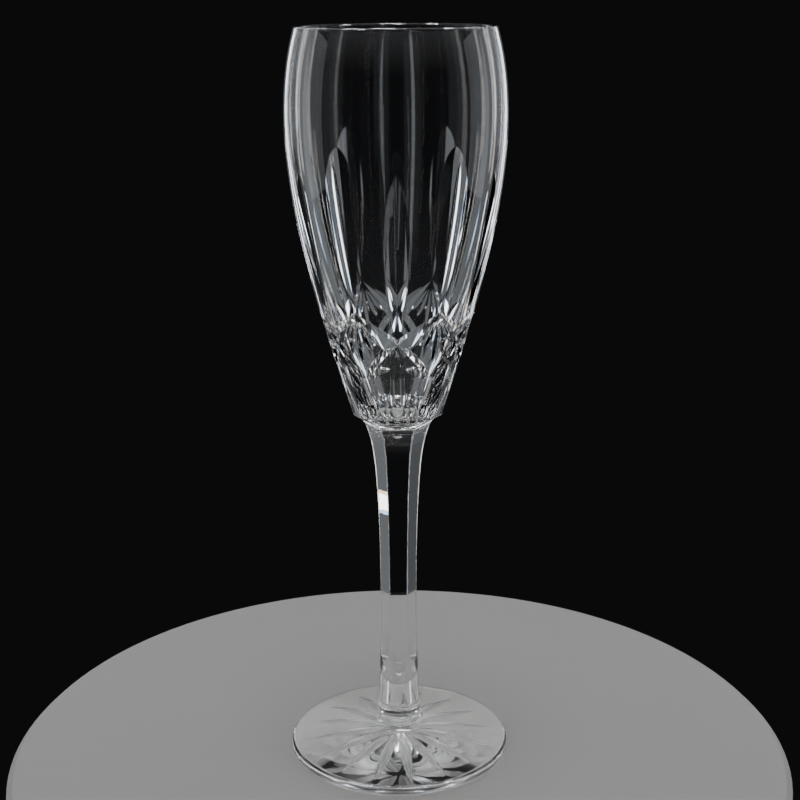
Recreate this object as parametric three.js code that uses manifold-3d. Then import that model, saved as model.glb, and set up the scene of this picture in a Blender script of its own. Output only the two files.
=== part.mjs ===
// Cut lead-crystal champagne flute: bowl, stem and foot, each its own solid.
// Millimetres, +Z up, the foot stands on z = 0 and the glass is centred on the Z axis.
// Angles around the glass run from the front (-Y) towards +X.
import * as THREE from "three";
import { mergeVertices } from "three/addons/utils/BufferGeometryUtils.js";
import Module from "manifold-3d";

// Heights
const footHeight = 9.6; // foot, from the table to the joint with the stem
const stemLength = 101.9; // stem, joint to joint
const bowlHeight = 124.5; // bowl, from the joint with the stem to the rim
const coveRise = 5.1; // hollow under the bowl, joint to heel corner

// Bowl
const rimDiameter = 60.6;
const heelDiameter = 28.7; // sharp corner where the cone turns into the cove
const heelFlare = 0.3; // radius gained per millimetre just above the heel
const rimTuck = 0.3; // radius lost per millimetre at the rim
const heelPull = 0.335; // how far the cone holds its slope, as a share of the side
const rimPull = 0.293; // how far the tuck at the rim reaches down, as a share of the side
const rimWall = 1.6;
const bodyGain = 1.0; // wall gained evenly from rim to heel
const heelGain = 5.6; // extra wall gained towards the heel
const heelGainPower = 4.5;
const cavityStart = 0.017; // height on the side where the round bottom of the hollow begins
const cavityFloor = 3.7; // depth of that round bottom

// Stem and cove: width over the corners of the hexagon
const stemSides = 6;
const waistDiameter = 11.7; // narrowest place
const waistHeight = 34.8; // above the stem's lower joint
const jointDiameter = 19.8; // at the bowl joint
const neckDiameter = 13.2; // where the flare to the bowl begins
const neckDrop = 23.5; // that place, below the bowl joint
const ankleDiameter = 14; // round part above the foot
const ankleHeight = 2.4;
const baseDiameter = 16.6; // stem's lower joint
const facetEnd = 17; // where the flats run out into the round ankle
const facetFade = 3; // height over which they fade, up and down from there
const facetWidths = [1.3, 1.2, 1.06]; // of the grinding tool: below the fade in base diameters, then waists
const shankShare = 0.55; // at facetEnd the round blank has gone this far from ankle width to waist width
const shoulder = { width: 0.95, height: 0.35 }; // of the base ring, in baseDiameter and ankleHeight
const tuck = { width: 1.03, height: 0.7 }; // above the base ring, in ankleDiameter and ankleHeight
const grindAllowance = 0.02; // the blank stands this far outside the corners of the flats
const taperHandle = [0.025, 0.5]; // curve handle under the neck, across and along, in neckDrop
const flareHandle = [0.03, 0.6]; // over the neck, in neckDrop
const jointHandle = [0.35, 1]; // under the bowl joint, in coveRise
const coveHandle = [0.2, 0.6]; // over the bowl joint, in coveRise

// Foot
const footDiameter = 72.9;
const footEdge = 3.0; // thickness at the edge
const footSag = [0.3, 0.62]; // curve handle of the upper side, from the stem outwards and from the edge up

// Cuts
const cutCount = 6; // crosses, diamonds and spears of each size around the bowl
const bandTop = 42.2; // upper points of the crosses, above the bowl joint
const bandBottom = 20.3;
const crossDepth = 1.5;
const crossPeak = 0.6; // a cut's peak is where along its path it is deepest
const crossHalfAngle = THREE.MathUtils.degToRad(64);
const crossTilt = THREE.MathUtils.degToRad(7); // the wheel leans, so the lower face of a cut is the wide one
const tallSpearTop = 91.9;
const tallSpearDepth = 1.15;
const tallSpearPeak = 0.65;
const shortSpearTop = 83.8;
const shortSpearDepth = 0.85;
const shortSpearPeak = 0.6;
const spearHalfAngle = THREE.MathUtils.degToRad(81);
const fanDrop = 3; // start of the fan below the diamond's top point
const fanRays = [[-43, 10.3], [-24, 10], [0, 13.2], [24, 10], [43, 10.3]]; // lean, length
const fanGather = 0.15; // share of its sideways reach at which a ray starts
const fanDepth = 0.6;
const fanPeak = 0.6;
const fanHalfAngle = THREE.MathUtils.degToRad(60);
const panelCount = 12; // flat panels around the heel
const panelHeight = 17;
const starRays = 16;
const starInner = 2.6;
const starOuter = 30.2;
const starDepth = 1.2;
const starPeak = 0.45;
const starHalfAngle = THREE.MathUtils.degToRad(55);
const starTurn = THREE.MathUtils.degToRad(7);
const cutterClear = 1; // how far a cutter stands clear of the glass
const cutterOverrun = 0.02; // how far it runs past both ends of a cut, as a share of the path

// Fineness
const roundSides = 48;
const blankSides = 24;
const sideSteps = 12;
const lipSteps = 2;
const floorSteps = 5;
const wallSteps = 10;
const wallCrowding = 1.3; // the steps of the inner wall crowd towards the heel
const coveSteps = 4;
const taperSteps = 5;
const flareSteps = 8;
const edgeSteps = 4;
const slopeSteps = 4;
const longCutSteps = 6;
const rayCutSteps = 4;
const fanCutSteps = 3;
const sideHalvings = 40;
const pathStep = 1e-3; // share of a path over which its direction is taken
const weldDistance = 1e-4;

const wasm = await Module();
wasm.setup();

const { degToRad, lerp } = THREE.MathUtils;
const bowlJoint = footHeight + stemLength;
const heelZ = bowlJoint + coveRise;
const rimZ = bowlJoint + bowlHeight;
const sideHeight = rimZ - heelZ;

const crystal = new THREE.MeshStandardMaterial({ color: 0xf4f7f8, roughness: 0.04, metalness: 0 });

function solid(geometry) {
  geometry.deleteAttribute("normal");
  geometry.deleteAttribute("uv");
  const merged = mergeVertices(geometry, weldDistance);
  return new wasm.Manifold(new wasm.Mesh({
    numProp: 3,
    vertProperties: new Float32Array(merged.attributes.position.array),
    triVerts: new Uint32Array(merged.index.array),
  }));
}

// Turned solid, its profile given as [radius, height] from the bottom up the outside
function turned(profile, sides = roundSides, turn = 0) {
  const points = profile.map(([radius, height]) => new THREE.Vector2(radius, height));
  return solid(new THREE.LatheGeometry(points, sides, turn).rotateX(Math.PI / 2));
}

function mesh(name, body) {
  const { vertProperties, triVerts } = body.getMesh();
  const geometry = new THREE.BufferGeometry();
  geometry.setAttribute("position", new THREE.BufferAttribute(vertProperties, 3));
  geometry.setIndex(new THREE.BufferAttribute(triVerts, 1));
  geometry.computeVertexNormals();
  const part = new THREE.Mesh(geometry, crystal.clone());
  part.name = name;
  return part;
}

// Outside of the bowl: one curve from the heel corner to the rim
const side = new THREE.CubicBezierCurve(
  new THREE.Vector2(heelDiameter / 2, heelZ),
  new THREE.Vector2(heelDiameter / 2 + heelFlare * heelPull * sideHeight, heelZ + heelPull * sideHeight),
  new THREE.Vector2(rimDiameter / 2 + rimTuck * rimPull * sideHeight, rimZ - rimPull * sideHeight),
  new THREE.Vector2(rimDiameter / 2, rimZ),
);

function sideAt(z) {
  let low = 0;
  let high = 1;
  for (let halving = 0; halving < sideHalvings; halving++) {
    const middle = (low + high) / 2;
    if (side.getPoint(middle).y < z) low = middle;
    else high = middle;
  }
  const slope = side.getTangent(low);
  return { radius: side.getPoint(low).x, slope: slope.x / slope.y };
}

function wallAt(z) {
  const below = (rimZ - z) / sideHeight;
  return rimWall + bodyGain * below + heelGain * below ** heelGainPower;
}

// A V-shaped wheel cut laid along a path on a surface; it is deepest at peak and runs out to a
// point at both ends. surface(s) gives the point and outward normal at s, from 0 to 1.
function groove(surface, depth, halfAngle, peak, { tilt = 0, steps = longCutSteps } = {}) {
  const height = depth + cutterClear;
  const section = new THREE.Shape([
    new THREE.Vector2(0, 0),
    new THREE.Vector2(height * Math.tan(halfAngle + tilt), height),
    new THREE.Vector2(-height * Math.tan(halfAngle - tilt), height),
  ]);
  const wedge = new THREE.ExtrudeGeometry(section, { depth: 1, steps, bevelEnabled: false });
  const at = wedge.attributes.position;
  const rising = 2 * peak;
  const falling = 2 - rising;
  const full = peak ** rising * (1 - peak) ** falling;
  for (let i = 0; i < at.count; i++) {
    const s = lerp(-cutterOverrun, 1 + cutterOverrun, at.getZ(i));
    const share = s > 0 && s < 1 ? s ** rising * (1 - s) ** falling / full : -cutterOverrun;
    const here = surface(s);
    const along = surface(s + pathStep).point.sub(surface(s - pathStep).point).normalize();
    const across = new THREE.Vector3().crossVectors(here.normal, along).normalize();
    const place = here.point.addScaledVector(across, at.getX(i));
    place.addScaledVector(here.normal, at.getY(i) - depth * share);
    at.setXYZ(i, place.x, place.y, place.z);
  }
  return solid(wedge);
}

// Straight line on the unrolled side of the bowl, from one [angle, height] to another
function onSide([angleA, zA], [angleB, zB]) {
  return (s) => {
    const angle = lerp(angleA, angleB, s);
    const z = lerp(zA, zB, s);
    const { radius, slope } = sideAt(z);
    return {
      point: new THREE.Vector3(radius * Math.sin(angle), -radius * Math.cos(angle), z),
      normal: new THREE.Vector3(Math.sin(angle), -Math.cos(angle), -slope).normalize(),
    };
  };
}

// Radius over the corners of the six-sided stem, [radius, height], from its lower joint to the heel
function stemOutline() {
  const waist = new THREE.Vector2(waistDiameter / 2, footHeight + waistHeight);
  const neck = new THREE.Vector2(neckDiameter / 2, bowlJoint - neckDrop);
  const joint = new THREE.Vector2(jointDiameter / 2, bowlJoint);
  const heel = new THREE.Vector2(heelDiameter / 2, heelZ);
  const taper = new THREE.CubicBezierCurve(
    waist,
    waist.clone().add(new THREE.Vector2(0, (neck.y - waist.y) / 2)),
    neck.clone().sub(new THREE.Vector2(...taperHandle).multiplyScalar(neckDrop)),
    neck,
  );
  const flare = new THREE.CubicBezierCurve(
    neck,
    neck.clone().add(new THREE.Vector2(...flareHandle).multiplyScalar(neckDrop)),
    joint.clone().sub(new THREE.Vector2(...jointHandle).multiplyScalar(coveRise)),
    joint,
  );
  const cove = new THREE.QuadraticBezierCurve(
    joint,
    joint.clone().add(new THREE.Vector2(...coveHandle).multiplyScalar(coveRise)),
    heel,
  );
  return { waist, taper, flare, cove };
}

function makeBowl() {
  const lip = rimWall / 2;
  const lipRadius = sideAt(rimZ - lip).radius - lip;
  const lipArc = (from, to) => Array.from({ length: lipSteps + 1 }, (_, i) => {
    const turn = lerp(from, to, i / lipSteps);
    return [lipRadius + lip * Math.cos(turn), rimZ - lip + lip * Math.sin(turn)];
  });
  const outside = [[0, heelZ]];
  for (let i = 0; i < sideSteps; i++) {
    const point = side.getPoint(i / sideSteps);
    outside.push([point.x, point.y]);
  }
  outside.push(...lipArc(0, Math.PI / 2), [0, rimZ]);
  let body = turned(outside);

  // Flat panels around the heel, meeting edge to edge at the corner
  const corner = Math.cos(Math.PI / panelCount);
  const panelTop = sideAt(heelZ + panelHeight).radius;
  const lean = (panelTop - heelDiameter / 2 * corner) / panelHeight;
  const clearZ = rimZ + cutterClear;
  const panelAt = (z) => (panelTop + lean * (z - heelZ - panelHeight)) / corner;
  body = body.intersect(turned(
    [[0, bowlJoint], [panelAt(bowlJoint), bowlJoint], [panelAt(clearZ), clearZ], [0, clearZ]],
    panelCount, Math.PI / panelCount,
  ));

  // Six-sided hollow under the heel, carried over from the stem
  const cove = stemOutline().cove.getPoints(coveSteps).map((point) => [point.x, point.y]);
  cove[cove.length - 1][0] *= corner;
  cove.unshift([0, bowlJoint]);
  cove.push([0, heelZ + cutterClear]);
  body = body.add(turned(cove, stemSides, Math.PI / stemSides));

  // Inside of the bowl, from the round floor up to the lip
  const cavityZ = heelZ + cavityStart * sideHeight;
  const cavityRadius = sideAt(cavityZ).radius - wallAt(cavityZ);
  const inside = [];
  for (let i = 0; i < floorSteps; i++) {
    const turn = (i / floorSteps) * Math.PI / 2;
    inside.push([cavityRadius * Math.sin(turn), cavityZ - cavityFloor * Math.cos(turn)]);
  }
  for (let i = 0; i < wallSteps; i++) {
    const z = lerp(cavityZ, rimZ - lip, (i / wallSteps) ** wallCrowding);
    inside.push([sideAt(z).radius - wallAt(z), z]);
  }
  inside.push(...lipArc(Math.PI, Math.PI / 2), [lipRadius, clearZ], [0, clearZ]);
  body = body.subtract(turned(inside));

  const cuts = [];
  const step = 2 * Math.PI / cutCount;
  const top = bowlJoint + bandTop;
  const bottom = bowlJoint + bandBottom;
  for (let i = 0; i < cutCount; i++) {
    const cross = i * step;
    const diamond = cross + step / 2;
    for (const hand of [-1, 1]) {
      const line = onSide([cross - hand * step / 2, top], [cross + hand * step / 2, bottom]);
      cuts.push(groove(line, crossDepth, crossHalfAngle, crossPeak, { tilt: -hand * crossTilt }));
    }
    const tall = onSide([diamond, top], [diamond, bowlJoint + tallSpearTop]);
    cuts.push(groove(tall, tallSpearDepth, spearHalfAngle, tallSpearPeak));
    const short = onSide([cross, (top + bottom) / 2], [cross, bowlJoint + shortSpearTop]);
    cuts.push(groove(short, shortSpearDepth, spearHalfAngle, shortSpearPeak));
    const fanTop = top - fanDrop;
    const fanRadius = sideAt(fanTop).radius;
    for (const [lean, length] of fanRays) {
      const turn = length * Math.sin(degToRad(lean)) / fanRadius;
      const drop = length * Math.cos(degToRad(lean));
      const ray = onSide([diamond + turn * fanGather, fanTop], [diamond + turn, fanTop - drop]);
      cuts.push(groove(ray, fanDepth, fanHalfAngle, fanPeak, { steps: fanCutSteps }));
    }
  }
  return cuts.reduce((left, cut) => left.subtract(cut), body);
}

// Round blank with six flats ground along it; the flats run out above the foot
function makeStem() {
  const { waist, taper, flare } = stemOutline();
  const curve = [...taper.getPoints(taperSteps), ...flare.getPoints(flareSteps).slice(1)];
  const outline = curve.map((point) => [point.x, point.y]);
  const facetZ = footHeight + facetEnd;
  const clearZ = footHeight - cutterClear;
  const [belowWidth, endWidth, fadeWidth] = facetWidths;
  const toolRadius = baseDiameter / 2 * belowWidth;
  const facets = turned([
    [0, clearZ], [toolRadius, clearZ], [toolRadius, facetZ - 2 * facetFade],
    [waist.x * endWidth, facetZ], [waist.x * fadeWidth, facetZ + facetFade], ...outline, [0, bowlJoint],
  ], stemSides, Math.PI / stemSides);
  const blank = turned([
    [0, footHeight], [baseDiameter / 2, footHeight],
    [baseDiameter / 2 * shoulder.width, footHeight + ankleHeight * shoulder.height],
    [ankleDiameter / 2 * tuck.width, footHeight + ankleHeight * tuck.height],
    [ankleDiameter / 2, footHeight + ankleHeight],
    [lerp(ankleDiameter, waistDiameter, shankShare) / 2, facetZ],
    ...outline.map(([radius, z]) => [radius + grindAllowance, z]), [0, bowlJoint],
  ], blankSides);
  return facets.intersect(blank);
}

function makeFoot() {
  const radius = footDiameter / 2;
  const round = footEdge / 2;
  const profile = [[0, 0], [radius - round, 0]];
  for (let i = 1; i < edgeSteps; i++) {
    const turn = (i / edgeSteps - 0.5) * Math.PI;
    profile.push([radius - round + round * Math.cos(turn), round + round * Math.sin(turn)]);
  }
  profile.push([radius - round, footEdge]);
  const slope = new THREE.QuadraticBezierCurve(
    new THREE.Vector2(radius - round, footEdge),
    new THREE.Vector2(lerp(baseDiameter / 2, radius, footSag[0]), lerp(footEdge, footHeight, footSag[1])),
    new THREE.Vector2(baseDiameter / 2, footHeight),
  );
  profile.push(...slope.getPoints(slopeSteps).slice(1).map((point) => [point.x, point.y]), [0, footHeight]);
  const cuts = [];
  for (let i = 0; i < starRays; i++) {
    const angle = starTurn + i * 2 * Math.PI / starRays;
    const outward = new THREE.Vector3(Math.sin(angle), -Math.cos(angle), 0);
    const ray = (s) => ({
      point: outward.clone().multiplyScalar(lerp(starInner, starOuter, s)),
      normal: new THREE.Vector3(0, 0, -1),
    });
    cuts.push(groove(ray, starDepth, starHalfAngle, starPeak, { steps: rayCutSteps }));
  }
  return cuts.reduce((left, cut) => left.subtract(cut), turned(profile));
}

const flute = new THREE.Group();
flute.add(mesh("bowl", makeBowl()), mesh("stem", makeStem()), mesh("foot", makeFoot()));

export default flute;
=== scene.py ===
import math
import bmesh
import bpy
import numpy as np
from mathutils import Matrix, Vector


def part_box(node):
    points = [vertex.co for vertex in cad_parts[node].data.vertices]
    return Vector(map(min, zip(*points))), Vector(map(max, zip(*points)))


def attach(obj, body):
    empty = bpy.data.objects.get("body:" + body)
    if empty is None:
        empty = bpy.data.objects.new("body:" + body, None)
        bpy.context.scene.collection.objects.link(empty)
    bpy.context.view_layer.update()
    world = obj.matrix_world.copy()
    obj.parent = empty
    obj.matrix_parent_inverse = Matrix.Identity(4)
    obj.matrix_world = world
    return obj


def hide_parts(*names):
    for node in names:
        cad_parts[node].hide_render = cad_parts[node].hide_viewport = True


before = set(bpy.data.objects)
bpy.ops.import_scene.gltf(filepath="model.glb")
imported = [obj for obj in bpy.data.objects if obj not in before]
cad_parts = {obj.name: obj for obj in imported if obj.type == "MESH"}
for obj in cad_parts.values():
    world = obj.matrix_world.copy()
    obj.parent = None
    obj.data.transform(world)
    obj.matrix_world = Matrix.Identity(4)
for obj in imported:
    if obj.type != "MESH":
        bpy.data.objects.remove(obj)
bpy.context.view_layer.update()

MM = 0.001


# The bowl blank. Lead crystal, blown on the pipe and shaped in a mould: a fire-polished lip under
# two millimetres thick, a full shoulder, and a straight cone that grows heavy towards the heel.

bowl_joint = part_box("stem")[1].z
rim_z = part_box("bowl")[1].z
cove_rise = 5.1 * MM        # hollow under the bowl, from the joint to the heel's sharp corner
heel_z = bowl_joint + cove_rise
side_height = rim_z - heel_z
rim_radius = 30.3 * MM
heel_radius = 14.35 * MM
heel_flare = 0.3            # radius gained per unit of height just above the heel
rim_tuck = 0.3              # radius lost per unit of height at the rim
heel_pull = 0.335           # how far the cone holds its slope, as a share of the side
rim_pull = 0.293            # how far the tuck at the rim reaches down, as a share of the side
side_points = 2001
side_every = 12             # the outline takes every twelfth of those points
rim_wall = 1.6 * MM
body_gain = 1.0 * MM        # wall gained evenly from rim to heel
heel_gain = 5.6 * MM        # extra wall gained towards the heel
heel_gain_power = 4.5
cavity_start = 0.017        # where the round bottom of the hollow begins, as a share of the side
cavity_floor = 3.7 * MM     # depth of that round bottom
floor_points = 24
wall_points = 150
lip_points = 9
outer_stop, inner_stop = 1.15, 1.1      # the walls end this far below the rim, in lip radii
round_sides = 288


def bezier(points, count):
    """Places along a quadratic or cubic curve, from its handles, as [radius, height]."""
    t = np.linspace(0, 1, count)[:, None]
    a = [np.array(p, float) for p in points]
    while len(a) > 1:
        a = [p + (q - p) * t for p, q in zip(a, a[1:])]
    return a[0]


side = bezier([
    (heel_radius, heel_z),
    (heel_radius + heel_flare * heel_pull * side_height, heel_z + heel_pull * side_height),
    (rim_radius + rim_tuck * rim_pull * side_height, rim_z - rim_pull * side_height),
    (rim_radius, rim_z),
], side_points)
side_slope = np.gradient(side[:, 0], side[:, 1])


def side_at(z):
    """Outside radius and slope of the bowl at a height."""
    return np.interp(z, side[:, 1], side[:, 0]), np.interp(z, side[:, 1], side_slope)


def wall_at(z):
    """Thickness of the bowl's wall at a height."""
    below = (rim_z - z) / side_height
    return rim_wall + body_gain * below + heel_gain * np.clip(below, 0, None) ** heel_gain_power


class Tree:
    """A Geometry Nodes tree under construction: its named inputs, and nodes added by hand."""

    def __init__(self, name, **sockets):
        self.group = bpy.data.node_groups.new(name, "GeometryNodeTree")
        self.group.interface.new_socket("Geometry", in_out="INPUT", socket_type="NodeSocketGeometry")
        self.group.interface.new_socket("Geometry", in_out="OUTPUT", socket_type="NodeSocketGeometry")
        self.keys = {}
        for label, kind in sockets.items():
            socket = self.group.interface.new_socket(label, in_out="INPUT", socket_type="NodeSocket" + kind)
            self.keys[label] = socket.identifier
        self.entry = self.group.nodes.new("NodeGroupInput")

    def add(self, kind, *links, **settings):
        """A new node, with its (source, socket) links, its settings and its inputs' values."""
        node = self.group.nodes.new(kind)
        values = settings.pop("values", {})
        for key, value in settings.items():
            setattr(node, key, value)
        for key, value in values.items():
            node.inputs[key].default_value = value
        for source, socket in links:
            self.group.links.new(source, node.inputs[socket])
        return node

    def maths(self, operation, a, b=None):
        """One sum on numbers or on other nodes' results."""
        node = self.add("ShaderNodeMath", operation=operation)
        for place, value in enumerate((a, b)):
            if isinstance(value, (int, float)):
                node.inputs[place].default_value = value
            elif value is not None:
                self.group.links.new(value, node.inputs[place])
        return node.outputs[0]

    def close(self, geometry, glass):
        """Every tree ends by realizing its instances and setting the glass."""
        real = self.add("GeometryNodeRealizeInstances", (geometry, "Geometry"))
        dressed = self.add("GeometryNodeSetMaterial", (real.outputs[0], "Geometry"), (glass, "Material"))
        self.add("NodeGroupOutput", (dressed.outputs[0], "Geometry"))

    def shape(self, piece, **values):
        """Runs the tree on a piece with these inputs and keeps the result as its plain mesh."""
        modifier = piece.modifiers.new(self.group.name, "NODES")
        modifier.node_group = self.group
        for label, value in values.items():
            modifier[self.keys[label]] = value
        keep_shape(piece)


def keep_shape(piece):
    """The mesh that the piece's modifiers give replaces its own, and the modifiers go."""
    graph = bpy.context.evaluated_depsgraph_get()
    made = bpy.data.meshes.new_from_object(piece.evaluated_get(graph), depsgraph=graph)
    piece.modifiers.clear()
    piece.data = made


def face_outwards(piece):
    """Turns every face of a closed solid to the outside."""
    shape = bmesh.new()
    shape.from_mesh(piece.data)
    bmesh.ops.recalc_face_normals(shape, faces=shape.faces)
    shape.to_mesh(piece.data)
    shape.free()


def raw_piece(name, points, edges=(), faces=()):
    """An object at the origin with these points, edges and faces."""
    mesh = bpy.data.meshes.new(name)
    mesh.from_pydata([tuple(p) for p in points], list(edges), list(faces))
    piece = bpy.data.objects.new(name, mesh)
    bpy.context.scene.collection.objects.link(piece)
    return piece


# The lathe: a profile of [radius, height] points is carried around the axis of the glass, and the
# points that fall together at the seam and on the axis are joined.
lathe = Tree("turned about the axis", Sides="Int", Turn="Float", Glass="Material")
profile = lathe.entry.outputs["Geometry"]
size = lathe.add("GeometryNodeAttributeDomainSize", (profile, "Geometry"))
rows = size.outputs["Point Count"]
columns = lathe.maths("ADD", lathe.entry.outputs["Sides"], 1)
sheet = lathe.add("GeometryNodeMeshGrid", (columns, "Vertices X"), (rows, "Vertices Y"))
index = lathe.add("GeometryNodeInputIndex").outputs[0]
column = lathe.maths("FLOOR", lathe.maths("DIVIDE", lathe.maths("ADD", index, 0.5), rows))
row = lathe.maths("SUBTRACT", index, lathe.maths("MULTIPLY", column, rows))
place = lathe.add("GeometryNodeInputPosition").outputs[0]
point = lathe.add(
    "GeometryNodeSampleIndex",
    (profile, "Geometry"), (place, "Value"), (row, "Index"), data_type="FLOAT_VECTOR", domain="POINT",
)
parts = lathe.add("ShaderNodeSeparateXYZ", (point.outputs[0], 0))
share = lathe.maths("DIVIDE", column, lathe.entry.outputs["Sides"])
angle = lathe.maths("ADD", lathe.maths("MULTIPLY", share, math.tau), lathe.entry.outputs["Turn"])
radius = parts.outputs["X"]
turned = lathe.add(
    "ShaderNodeCombineXYZ",
    (lathe.maths("MULTIPLY", radius, lathe.maths("SINE", angle)), 0),
    (lathe.maths("MULTIPLY", lathe.maths("MULTIPLY", radius, lathe.maths("COSINE", angle)), -1), 1),
    (parts.outputs["Z"], 2),
)
spun = lathe.add("GeometryNodeSetPosition", (sheet.outputs[0], "Geometry"), (turned.outputs[0], "Position"))
same_place = 1e-7
joined = lathe.add(
    "GeometryNodeMergeByDistance", (spun.outputs[0], "Geometry"), values={"Distance": same_place},
)
lathe.close(joined.outputs[0], lathe.entry.outputs["Glass"])


def turn_piece(name, outline, glass, sides=round_sides, turn=0.0):
    """A closed solid turned from an outline that starts and ends on the axis."""
    points = [(r, 0, z) for r, z in outline]
    piece = raw_piece(name, points, [(i, i + 1) for i in range(len(points) - 1)])
    lathe.shape(piece, Sides=sides, Turn=turn, Glass=glass)
    face_outwards(piece)
    return piece


def grind(piece, tool, operation="DIFFERENCE"):
    """Takes the tool out of the piece, or joins or crops them; its faces keep the tool's finish."""
    modifier = piece.modifiers.new("grind", "BOOLEAN")
    modifier.object = tool
    modifier.operation = operation
    modifier.solver = "MANIFOLD"
    modifier.material_mode = "TRANSFER"
    keep_shape(piece)
    bpy.data.objects.remove(tool)


crystal_tint = (0.985, 0.992, 0.995, 1)
crystal_bending = 1.545                 # refractive index
film_scale, film_detail = 70, 5
film_from, film_full = 0.48, 0.72       # the noise at which the film begins, and where it is full
wave_detail = 1.5
edge_wear = 0.35 * MM                   # radius that polishing and use leave on every sharp edge
edge_samples = 4


def clear_crystal(name, smudge, wave, wave_size, stretch=(1, 1, 1), matt=0.0):
    """Lead crystal: the faint wave of its surface, the film that handling leaves, and its worn edges.

    Smudge and matt are the roughness with and without the film."""
    glass = bpy.data.materials.new(name)
    glass.use_nodes = True
    nodes, links = glass.node_tree.nodes, glass.node_tree.links
    shader = nodes["Principled BSDF"]
    shader.inputs["Base Color"].default_value = crystal_tint
    shader.inputs["Transmission Weight"].default_value = 1
    shader.inputs["IOR"].default_value = crystal_bending
    where = nodes.new("ShaderNodeTexCoord")
    drawn = nodes.new("ShaderNodeMapping")
    drawn.inputs["Scale"].default_value = stretch
    links.new(where.outputs["Object"], drawn.inputs["Vector"])
    film = nodes.new("ShaderNodeTexNoise")
    film.inputs["Scale"].default_value = film_scale
    film.inputs["Detail"].default_value = film_detail
    links.new(drawn.outputs["Vector"], film.inputs["Vector"])
    ramp = nodes.new("ShaderNodeMapRange")
    ramp.inputs["From Min"].default_value = film_from
    ramp.inputs["From Max"].default_value = film_full
    ramp.inputs["To Min"].default_value = matt
    ramp.inputs["To Max"].default_value = smudge
    links.new(film.outputs["Fac"], ramp.inputs["Value"])
    links.new(ramp.outputs["Result"], shader.inputs["Roughness"])
    ripple = nodes.new("ShaderNodeTexNoise")
    ripple.inputs["Scale"].default_value = 1 / wave_size
    ripple.inputs["Detail"].default_value = wave_detail
    links.new(drawn.outputs["Vector"], ripple.inputs["Vector"])
    worn = nodes.new("ShaderNodeBevel")
    worn.samples = edge_samples
    worn.inputs["Radius"].default_value = edge_wear
    bump = nodes.new("ShaderNodeBump")
    links.new(worn.outputs["Normal"], bump.inputs["Normal"])
    bump.inputs["Strength"].default_value = 1
    bump.inputs["Distance"].default_value = wave
    links.new(ripple.outputs["Fac"], bump.inputs["Height"])
    links.new(bump.outputs["Normal"], shader.inputs["Normal"])
    return glass


blown = clear_crystal("blown_crystal", smudge=0.07, wave=0.03 * MM, wave_size=16 * MM, stretch=(1, 1, 0.35))
polished_cut = clear_crystal("polished_cut_crystal", smudge=0.015, wave=0.004 * MM, wave_size=2.5 * MM)

lip = rim_wall / 2
lip_radius = side_at(rim_z - lip)[0] - lip
cavity_z = heel_z + cavity_start * side_height
cavity_radius = side_at(cavity_z)[0] - wall_at(cavity_z)


def lip_arc(start, end):
    """Part of the round section of the fire-polished lip."""
    turns = np.linspace(start, end, lip_points)
    return [(lip_radius + lip * math.cos(t), rim_z - lip + lip * math.sin(t)) for t in turns]


outside = [(0, heel_z)]
outside += [tuple(p) for p in side[::side_every] if p[1] < rim_z - outer_stop * lip]
outside += lip_arc(0, math.pi / 2) + [(0, rim_z)]
bowl = turn_piece("bowl_crystal", outside, blown)

hollow = []
for turn in np.linspace(0, math.pi / 2, floor_points)[:-1]:
    hollow.append((cavity_radius * math.sin(turn), cavity_z - cavity_floor * math.cos(turn)))
for z in np.linspace(cavity_z, rim_z - inner_stop * lip, wall_points):
    hollow.append((side_at(z)[0] - wall_at(z), z))
hollow += lip_arc(math.pi, math.pi / 2) + [(lip_radius, rim_z + MM), (0, rim_z + MM)]


# The heel. Twelve flat panels are ground around the bottom of the cone and meet edge to edge at
# the corner; under it the six sides of the stem rise into the glass in a hollow cove.

panel_count = 12
panel_height = 17 * MM
stem_sides = 6
joint_radius = 9.9 * MM
cove_handle = (0.2, 0.6)                # curve handle over the joint, in cove_rise, across and up
cove_points = 25
corner = math.cos(math.pi / panel_count)    # the middle of a flat, as a share of its corner's radius
panel_top = side_at(heel_z + panel_height)[0]
panel_lean = (panel_top - heel_radius * corner) / panel_height


def panel_at(z):
    """Radius over the corners of the panels' twelve-sided tool at a height."""
    return (panel_top + panel_lean * (z - heel_z - panel_height)) / corner


panel_tool = [(0, bowl_joint), (panel_at(bowl_joint), bowl_joint)]
panel_tool += [(panel_at(rim_z + MM), rim_z + MM), (0, rim_z + MM)]
panels = turn_piece("panels", panel_tool, polished_cut, panel_count, math.pi / panel_count)
grind(bowl, panels, "INTERSECT")

cove_line = bezier([
    (joint_radius, bowl_joint),
    (joint_radius + cove_handle[0] * cove_rise, bowl_joint + cove_handle[1] * cove_rise),
    (heel_radius, heel_z),
], cove_points)
cove_tool = [(0, bowl_joint)] + [tuple(p) for p in cove_line[:-1]]
cove_tool += [(heel_radius * corner, heel_z), (0, heel_z + MM)]
grind(bowl, turn_piece("cove", cove_tool, polished_cut, stem_sides, math.pi / stem_sides), "UNION")
grind(bowl, turn_piece("hollow", hollow, blown))


# The cuts. A mitre wheel, its edge a V, is laid on the turning bowl: six crosses around the waist,
# a fan in each diamond between them, and tall and short upright spears above, all acid polished.

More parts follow.
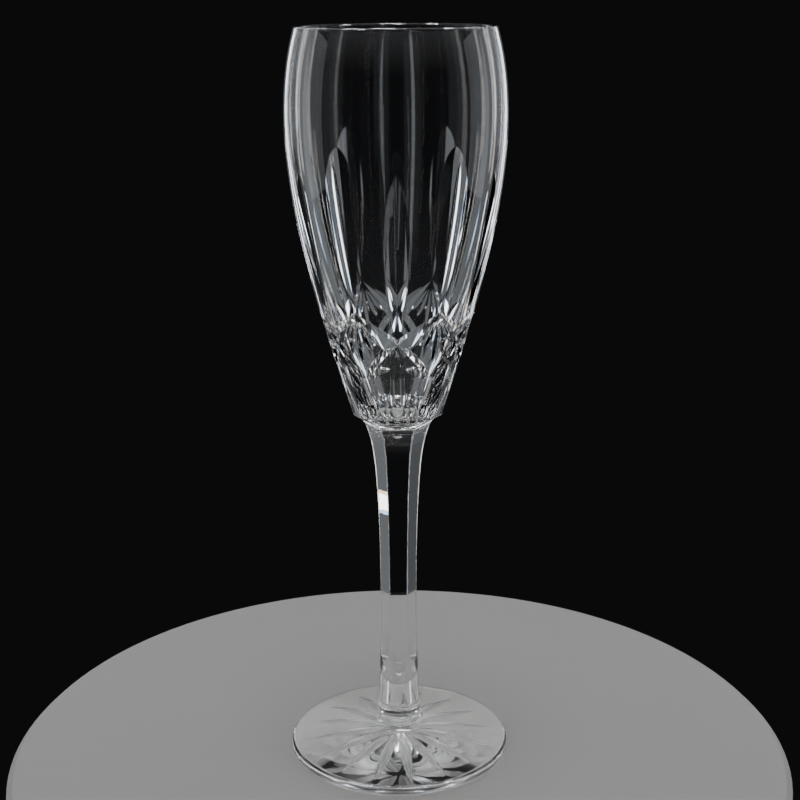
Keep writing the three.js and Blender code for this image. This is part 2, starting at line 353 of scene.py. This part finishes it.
cut_count = 6
step = math.tau / cut_count
band_top = bowl_joint + 42.2 * MM
band_bottom = bowl_joint + 20.3 * MM
cross_depth = 1.5 * MM
cross_peak = 0.6            # a cut's peak is where along its path it is deepest
cross_half_angle = math.radians(64)
cross_tilt = math.radians(7)        # the wheel leans, so the lower face of a cut is the wide one
tall_top = bowl_joint + 91.9 * MM
tall_depth = 1.15 * MM
tall_peak = 0.65
short_top = bowl_joint + 83.8 * MM
short_depth = 0.85 * MM
short_peak = 0.6
spear_half_angle = math.radians(81)
fan_top = band_top - 3 * MM
fan_rays = [(-43, 10.3), (-24, 10), (0, 13.2), (24, 10), (43, 10.3)]    # lean in degrees, length in mm
fan_gather = 0.15           # share of its sideways reach at which a ray starts
fan_depth = 0.6 * MM
fan_peak = 0.6
fan_half_angle = math.radians(60)
long_steps, fan_steps = 48, 24      # steps along a cut
wheel_clear = 1 * MM                # how far the wheel stands clear of the glass
wheel_overrun = 0.02                # how far it runs past both ends of a cut, as a share of it
path_nudge = 1e-3                   # share of a cut's path over which its direction is read


def on_side(start, end):
    """Places and outward normals along a straight line on the unrolled side of the bowl."""
    def at(s):
        turn = start[0] + (end[0] - start[0]) * s
        radius, slope = side_at(start[1] + (end[1] - start[1]) * s)
        out = Vector((math.sin(turn), -math.cos(turn), 0))
        place = out * float(radius) + Vector((0, 0, start[1] + (end[1] - start[1]) * s))
        return place, (out - Vector((0, 0, float(slope)))).normalized()
    return at


def wheel(surface, depth, half_angle, peak, tilt=0.0, steps=long_steps):
    """The solid that the wheel's V edge sweeps, deepest at peak and run out to a point at both ends."""
    height = depth + wheel_clear
    right, left = height * math.tan(half_angle + tilt), -height * math.tan(half_angle - tilt)
    rising = 2 * peak
    falling = 2 - rising
    full = peak ** rising * (1 - peak) ** falling
    points, faces = [], []
    for k in range(steps + 1):
        s = -wheel_overrun + (1 + 2 * wheel_overrun) * k / steps
        cut = depth * s ** rising * (1 - s) ** falling / full if 0 < s < 1 else -depth * wheel_overrun
        place, normal = surface(s)
        along = (surface(s + path_nudge)[0] - surface(s - path_nudge)[0]).normalized()
        across = normal.cross(along).normalized()
        for aside, up in ((0, 0), (right, height), (left, height)):
            points.append(place + across * aside + normal * (up - cut))
        for a in range(3):
            b = (a + 1) % 3
            if k < steps:
                faces.append((3 * k + a, 3 * k + b, 3 * k + 3 + b, 3 * k + 3 + a))
    faces += [(2, 1, 0), (3 * steps, 3 * steps + 1, 3 * steps + 2)]
    return points, faces


# The indexing head: one cut is repeated around the axis in equal steps.
index_head = Tree("cuts around the axis", Copies="Int", Turn="Float", Glass="Material")
stops = index_head.add("GeometryNodePoints", (index_head.entry.outputs["Copies"], "Count"))
number = index_head.add("GeometryNodeInputIndex").outputs[0]
part_turn = index_head.maths("DIVIDE", number, index_head.entry.outputs["Copies"])
stop_turn = index_head.maths("MULTIPLY", part_turn, math.tau)
whole_turn = index_head.maths("ADD", stop_turn, index_head.entry.outputs["Turn"])
facing = index_head.add("ShaderNodeCombineXYZ", (whole_turn, 2))
copies = index_head.add(
    "GeometryNodeInstanceOnPoints",
    (stops.outputs[0], "Points"),
    (index_head.entry.outputs["Geometry"], "Instance"),
    (facing.outputs[0], "Rotation"),
)
index_head.close(copies.outputs[0], index_head.entry.outputs["Glass"])


def cut_around(piece, tool, glass, copies=cut_count, turn=0.0):
    """Grinds one wheel cut, repeated evenly around the axis, out of the piece."""
    cutter = raw_piece("cutter", tool[0], faces=tool[1])
    face_outwards(cutter)
    index_head.shape(cutter, Copies=copies, Turn=turn, Glass=glass)
    grind(piece, cutter)


for hand in (-1, 1):
    line = on_side((-hand * step / 2, band_top), (hand * step / 2, band_bottom))
    cross = wheel(line, cross_depth, cross_half_angle, cross_peak, -hand * cross_tilt)
    cut_around(bowl, cross, polished_cut)
tall = on_side((0, band_top), (0, tall_top))
cut_around(bowl, wheel(tall, tall_depth, spear_half_angle, tall_peak), polished_cut, turn=step / 2)
short = on_side((0, (band_top + band_bottom) / 2), (0, short_top))
cut_around(bowl, wheel(short, short_depth, spear_half_angle, short_peak), polished_cut)
fan_radius = float(side_at(fan_top)[0])
for lean, length in fan_rays:
    turn = length * MM * math.sin(math.radians(lean)) / fan_radius
    drop = length * MM * math.cos(math.radians(lean))
    path = on_side((turn * fan_gather, fan_top), (turn, fan_top - drop))
    ray = wheel(path, fan_depth, fan_half_angle, fan_peak, steps=fan_steps)
    cut_around(bowl, ray, polished_cut, turn=step / 2)


def fused_joint():
    """Hot glass on hot glass leaves no surface: light goes straight through the joint."""
    weld = bpy.data.materials.new("fused_joint")
    weld.use_nodes = True
    nodes, links = weld.node_tree.nodes, weld.node_tree.links
    nodes.remove(nodes["Principled BSDF"])
    clear = nodes.new("ShaderNodeBsdfTransparent")
    links.new(clear.outputs[0], nodes["Material Output"].inputs["Surface"])
    return weld


weld = fused_joint()
level_face = 0.999                      # a face whose normal is this upright is level
joint_reach = 0.02 * MM                 # and lies in a joint when its height is this near
seam_bend = math.radians(2.5)           # sharper than this between two finishes is an edge
face_bend = math.radians(9)             # and between faces of one finish
speck = 1e-6


def finish_glass(piece, node, joints):
    """Crisp cut edges, smooth blown faces and open joints; the piece then stands for its CAD node."""
    mesh = piece.data
    mesh.materials.append(weld)
    weld_slot = len(mesh.materials) - 1
    shape = bmesh.new()
    shape.from_mesh(mesh)
    bmesh.ops.dissolve_degenerate(shape, dist=speck, edges=shape.edges)
    for face in shape.faces:
        face.smooth = True
        level = face.calc_center_median().z
        if abs(face.normal.z) > level_face and any(abs(level - joint) < joint_reach for joint in joints):
            face.material_index = weld_slot
    for edge in shape.edges:
        if len(edge.link_faces) == 2:
            one, other = edge.link_faces
            limit = seam_bend if one.material_index != other.material_index else face_bend
            edge.smooth = one.normal.angle(other.normal, 0) < limit
    shape.to_mesh(mesh)
    shape.free()
    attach(piece, "root")
    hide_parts(node)


finish_glass(bowl, "bowl", (bowl_joint,))


# The stem. Solid crystal drawn out under the bowl and ground to six flats; near the foot the flats
# run out into the round ankle that the gatherer left.

foot_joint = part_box("foot")[1].z
waist_radius = 5.85 * MM            # narrowest place, over the corners of the hexagon
waist_z = foot_joint + 34.8 * MM
neck_radius = 6.6 * MM              # where the flare to the bowl begins
neck_drop = 23.5 * MM
neck_z = bowl_joint - neck_drop
ankle_radius = 7 * MM
ankle_height = 2.4 * MM
base_radius = 8.3 * MM
facet_z = foot_joint + 17 * MM      # where the flats run out into the round ankle
facet_fade = 3 * MM                 # height over which they fade, up and down from there
taper_handle = (0.025, 0.5)         # curve handle under the neck, across and down, in neck_drop
flare_handle = (0.03, 0.6)          # over the neck, in neck_drop
joint_handle = (0.35, 1)            # under the bowl joint, in cove_rise
tool_share = 1.3                    # the grinding tool stands this far out below the fade, in base_radius
fade_start = (1.12, -0.2)           # and comes in by these: width in waist_radius, height in facet_fade
fade_end = (1.04, 1.4)
taper_points, flare_points, fade_points = 60, 80, 40

taper = bezier([
    (waist_radius, waist_z),
    (waist_radius, waist_z + (neck_z - waist_z) / 2),
    (neck_radius - taper_handle[0] * neck_drop, neck_z - taper_handle[1] * neck_drop),
    (neck_radius, neck_z),
], taper_points)
flare = bezier([
    (neck_radius, neck_z),
    (neck_radius + flare_handle[0] * neck_drop, neck_z + flare_handle[1] * neck_drop),
    (joint_radius - joint_handle[0] * cove_rise, bowl_joint - joint_handle[1] * cove_rise),
    (joint_radius, bowl_joint),
], flare_points)
shank = [tuple(p) for p in taper] + [tuple(p) for p in flare[1:]]
tool_radius = base_radius * tool_share
run_out = bezier([
    (tool_radius, facet_z - 2 * facet_fade),
    (waist_radius * fade_start[0], facet_z + fade_start[1] * facet_fade),
    (waist_radius * fade_end[0], facet_z + fade_end[1] * facet_fade),
    (waist_radius, waist_z),
], fade_points)
flats = [(0, foot_joint - MM), (tool_radius, foot_joint - MM)] + [tuple(p) for p in run_out[:-1]] + shank
flats.append((0, bowl_joint))

# The round blank: the shoulder of its base ring, the tuck above it, and the slow rise to the waist.
shoulder = (0.99, 0.55)             # in base_radius and ankle_height
tuck = (1.01, 0.5)                  # in ankle_radius and ankle_height
ankle_top = 1.3                     # in ankle_height
rise_foot = (0.985, 9 * MM)         # in ankle_radius; above the foot joint
rise_body = (1.1, -4 * MM)          # from here on in waist_radius; from facet_z
rise_top = (1.085, 2 * MM)
upper_body = (1.06, 6 * MM)
upper_top = (1.01, -6 * MM)         # from the waist
grind_allowance = 0.02 * MM         # the blank stands this far outside the corners of the flats
ankle_points, rise_points, upper_points = 24, 40, 20
blank_sides = 180

ankle = bezier([
    (base_radius, foot_joint),
    (base_radius * shoulder[0], foot_joint + shoulder[1] * ankle_height),
    (ankle_radius * tuck[0], foot_joint + tuck[1] * ankle_height),
    (ankle_radius, foot_joint + ankle_top * ankle_height),
], ankle_points)
rise = bezier([
    tuple(ankle[-1]),
    (ankle_radius * rise_foot[0], foot_joint + rise_foot[1]),
    (waist_radius * rise_body[0], facet_z + rise_body[1]),
    (waist_radius * rise_top[0], facet_z + rise_top[1]),
], rise_points)
upper = bezier([
    tuple(rise[-1]),
    (waist_radius * upper_body[0], facet_z + upper_body[1]),
    (waist_radius * upper_top[0], waist_z + upper_top[1]),
    (waist_radius + grind_allowance, waist_z),
], upper_points)
blank = [(0, foot_joint)] + [tuple(p) for p in ankle]
blank += [tuple(p) for p in rise[1:]] + [tuple(p) for p in upper[1:]]
blank += [(r + grind_allowance, z) for r, z in shank[1:]] + [(0, bowl_joint)]
stem = turn_piece("stem_crystal", flats, polished_cut, stem_sides, math.pi / stem_sides)
grind(stem, turn_piece("blank", blank, blown, blank_sides), "INTERSECT")
finish_glass(stem, "stem", (bowl_joint, foot_joint))


# The foot. A gather of crystal pressed out into a disc on the end of the stem, its edge rounded in
# the fire and its underside ground flat, with a sixteen-ray star cut into it.

foot_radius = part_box("foot")[1].x
foot_edge = 3 * MM          # thickness at the edge
foot_sag = (0.3, 0.62)      # curve handle of the upper side, from the stem outwards and from the edge up
edge_points, top_points = 25, 60
star_rays = 16
star_inner = 2.6 * MM
star_outer = 30.2 * MM
star_depth = 1.2 * MM
star_peak = 0.45
star_half_angle = math.radians(55)
star_turn = math.radians(7)

edge_round = foot_edge / 2
foot_line = [(0, 0)]
for turn in np.linspace(-math.pi / 2, math.pi / 2, edge_points):
    out = foot_radius - edge_round + edge_round * math.cos(turn)
    foot_line.append((out, edge_round + edge_round * math.sin(turn)))
top_line = bezier([
    (foot_radius - edge_round, foot_edge),
    (
        base_radius + foot_sag[0] * (foot_radius - base_radius),
        foot_edge + foot_sag[1] * (foot_joint - foot_edge),
    ),
    (base_radius, foot_joint),
], top_points)
foot_line += [tuple(p) for p in top_line[1:]] + [(0, foot_joint)]
foot = turn_piece("foot_crystal", foot_line, blown)


def under_foot(s):
    """A ray's path along the ground underside, from near the middle outwards."""
    place = Vector((0, -(star_inner + (star_outer - star_inner) * s), 0))
    return place, Vector((0, 0, -1))


# The rays are left half matt from the stone, so they glow against the clear foot.
star_cut = clear_crystal("star_cut_crystal", smudge=0.3, wave=0.02 * MM, wave_size=2 * MM, matt=0.38)
star = wheel(under_foot, star_depth, star_half_angle, star_peak)
cut_around(foot, star, star_cut, star_rays, star_turn)
finish_glass(foot, "foot", (foot_joint,))


# The table: a small round, pale, matt top that the glass stands on, with a narrow chamfer on both
# of its edges. It isn't part of the object.

table_radius = 130 * MM
table_under = -12 * MM
table_face = -0.05 * MM     # a hair below the foot, so the two faces never share a plane
table_chamfer = 2 * MM
table_sides = 128
table_colour = (0.52, 0.515, 0.50, 1)
table_roughness = 0.7
table_line = [(0, table_under), (table_radius - table_chamfer, table_under)]
table_line += [(table_radius, table_under + table_chamfer), (table_radius, -table_chamfer)]
table_line += [(table_radius - table_chamfer, table_face), (0, table_face)]
pale = bpy.data.materials.new("pale_table")
pale.use_nodes = True
pale.node_tree.nodes["Principled BSDF"].inputs["Base Color"].default_value = table_colour
pale.node_tree.nodes["Principled BSDF"].inputs["Roughness"].default_value = table_roughness
table = turn_piece("table_top", table_line, pale, table_sides)


# The light: tall soft strips and wide dim panels stand around the glass, out of sight, and show in
# its cuts and on its wall. Thin warm and blue edges stand in for the colours that crystal splits
# off. High bars light the lip, and a soft box above lights the table.

def soft_box(
    name, azimuth, distance, height, size, brightness, tint, aim=None, in_glass=True, on_table=True,
):
    """A lamp that faces the axis of the glass; brightness is what its face shows per unit of area."""
    light = bpy.data.lights.new(name, "AREA")
    light.shape = "RECTANGLE"
    light.size, light.size_y = size
    light.energy = brightness * math.pi * size[0] * size[1]
    light.color = tint
    lamp = bpy.data.objects.new(name, light)
    bpy.context.scene.collection.objects.link(lamp)
    turn = math.radians(azimuth)
    lamp.location = (distance * math.sin(turn), -distance * math.cos(turn), height)
    facing = Vector((0, 0, height if aim is None else aim)) - lamp.location
    lamp.rotation_euler = facing.to_track_quat("-Z", "Y").to_euler()
    lamp.visible_camera = False
    lamp.visible_transmission = in_glass
    lamp.visible_diffuse = on_table


warm, cool, white = (1.0, 0.96, 0.91), (0.9, 0.95, 1.0), (1.0, 1.0, 1.0)
amber, blue = (1.0, 0.72, 0.45), (0.45, 0.65, 1.0)

# Tall strips and their coloured edges. A place is the distance from the axis and the height, in metres.
strip_place, strip_size, edge_size = (0.9, 0.1), (0.05, 1.2), (0.01, 1.2)
edge_turn = 1.9             # degrees from the middle of a strip to its coloured edge
bright_strip, side_strip, near_strip = 6, 3, 1.2
strip_amber, strip_blue = 2.5, 4

# Wide dim panels, which give the blown wall its sheens.
panel_place, near_panel_place, panel_size = (1.0, 0.05), (1.0, 0.1), (0.3, 1.2)
far_panels = ((138, 0.17), (222, 0.09), (162, 0.15), (198, 0.15), (252, 0.15), (288, 0.15))
near_panel = 0.12
side_place, side_size, side_panel = (0.7, 0.22), (0.34, 0.5), 0.9

# One low bar behind the glass shows in a flat of the stem; the rest hang above.
low_turn, low_distance, low_middle = 138, 0.95, -0.19
low_size, low_edge_size, low_edge_step = (0.3, 0.03), (0.3, 0.008), 0.019
low_bar, low_bar_edge = 5, 2.5
high_place, high_size, high_aim, high_bar = (0.4, 0.9), (0.4, 0.06), 0.1, 40
overhead_place, overhead_size, overhead = (0.05, 1.1), (0.2, 0.2), 10

for azimuth, inner in ((152, -1), (208, 1)):
    amber_turn, blue_turn = azimuth + edge_turn * inner, azimuth - edge_turn * inner
    soft_box("strip_%d" % azimuth, azimuth, *strip_place, strip_size, bright_strip, cool)
    soft_box("amber_edge_%d" % azimuth, amber_turn, *strip_place, edge_size, strip_amber, amber)
    soft_box("blue_edge_%d" % azimuth, blue_turn, *strip_place, edge_size, strip_blue, blue)
for azimuth in (118, 242):
    soft_box("strip_%d" % azimuth, azimuth, *strip_place, strip_size, side_strip, warm)
for azimuth, tint in ((17, cool), (73, warm)):
    soft_box("strip_%d" % azimuth, azimuth, *strip_place, strip_size, near_strip, tint, on_table=False)
    soft_box("panel_%d" % azimuth, azimuth, *near_panel_place, panel_size, near_panel, cool, on_table=False)
for azimuth, brightness in far_panels:
    soft_box("panel_%d" % azimuth, azimuth, *panel_place, panel_size, brightness, cool)
for azimuth in (92, 268):
    soft_box("panel_%d" % azimuth, azimuth, *side_place, side_size, side_panel, cool, in_glass=False)
for name, rise_by, size, brightness, tint in (
    ("low_bar", 0, low_size, low_bar, white),
    ("low_bar_amber_edge", low_edge_step, low_edge_size, low_bar_edge, amber),
    ("low_bar_blue_edge", -low_edge_step, low_edge_size, low_bar_edge, blue),
):
    soft_box(name, low_turn, low_distance, low_middle + rise_by, size, brightness, tint)
for azimuth in (20, 110, 200, 290):
    name = "high_bar_%d" % azimuth
    soft_box(name, azimuth, *high_place, high_size, high_bar, white, aim=high_aim, on_table=False)
soft_box("overhead", 0, *overhead_place, overhead_size, overhead, white, aim=0)

# The room is near black up to a little above the horizon, and fades to a dim grey overhead.
dark_below, grey_above = 0.2, 0.65
near_black, dim_grey = (0.005, 0.005, 0.0055, 1), (0.34, 0.34, 0.35, 1)
room = bpy.data.worlds.new("room")
bpy.context.scene.world = room
room.use_nodes = True
sky = room.node_tree
toward = sky.nodes.new("ShaderNodeTexCoord")
upward = sky.nodes.new("ShaderNodeSeparateXYZ")
sky.links.new(toward.outputs["Generated"], upward.inputs[0])
fade = sky.nodes.new("ShaderNodeValToRGB")
fade.color_ramp.elements[0].position = dark_below
fade.color_ramp.elements[0].color = near_black
fade.color_ramp.elements[1].position = grey_above
fade.color_ramp.elements[1].color = dim_grey
sky.links.new(upward.outputs["Z"], fade.inputs["Fac"])
sky.links.new(fade.outputs["Color"], sky.nodes["Background"].inputs["Color"])


# The camera: just above the rim, looking a little down the glass through a long lens. Light may
# bend many times in cut crystal, so its paths are given room to get through.

camera = bpy.data.objects.new("camera", bpy.data.cameras.new("camera"))
bpy.context.scene.collection.objects.link(camera)
bpy.context.scene.camera = camera
camera.data.lens = 65.6
camera.data.clip_start = 0.01
camera.location = (0, -0.4467, 0.2470)
pitch, pan, roll = math.radians(15.82), math.radians(-0.1), math.radians(-0.28)
camera.rotation_euler = (
    Matrix.Rotation(pan, 3, "Z")
    @ Matrix.Rotation(math.pi / 2 - pitch, 3, "X")
    @ Matrix.Rotation(roll, 3, "Z")
).to_euler()

bends_through_glass, passes_through_joints = 32, 16
cycles = bpy.context.scene.cycles
cycles.max_bounces = bends_through_glass
cycles.transmission_bounces = bends_through_glass
cycles.transparent_max_bounces = passes_through_joints
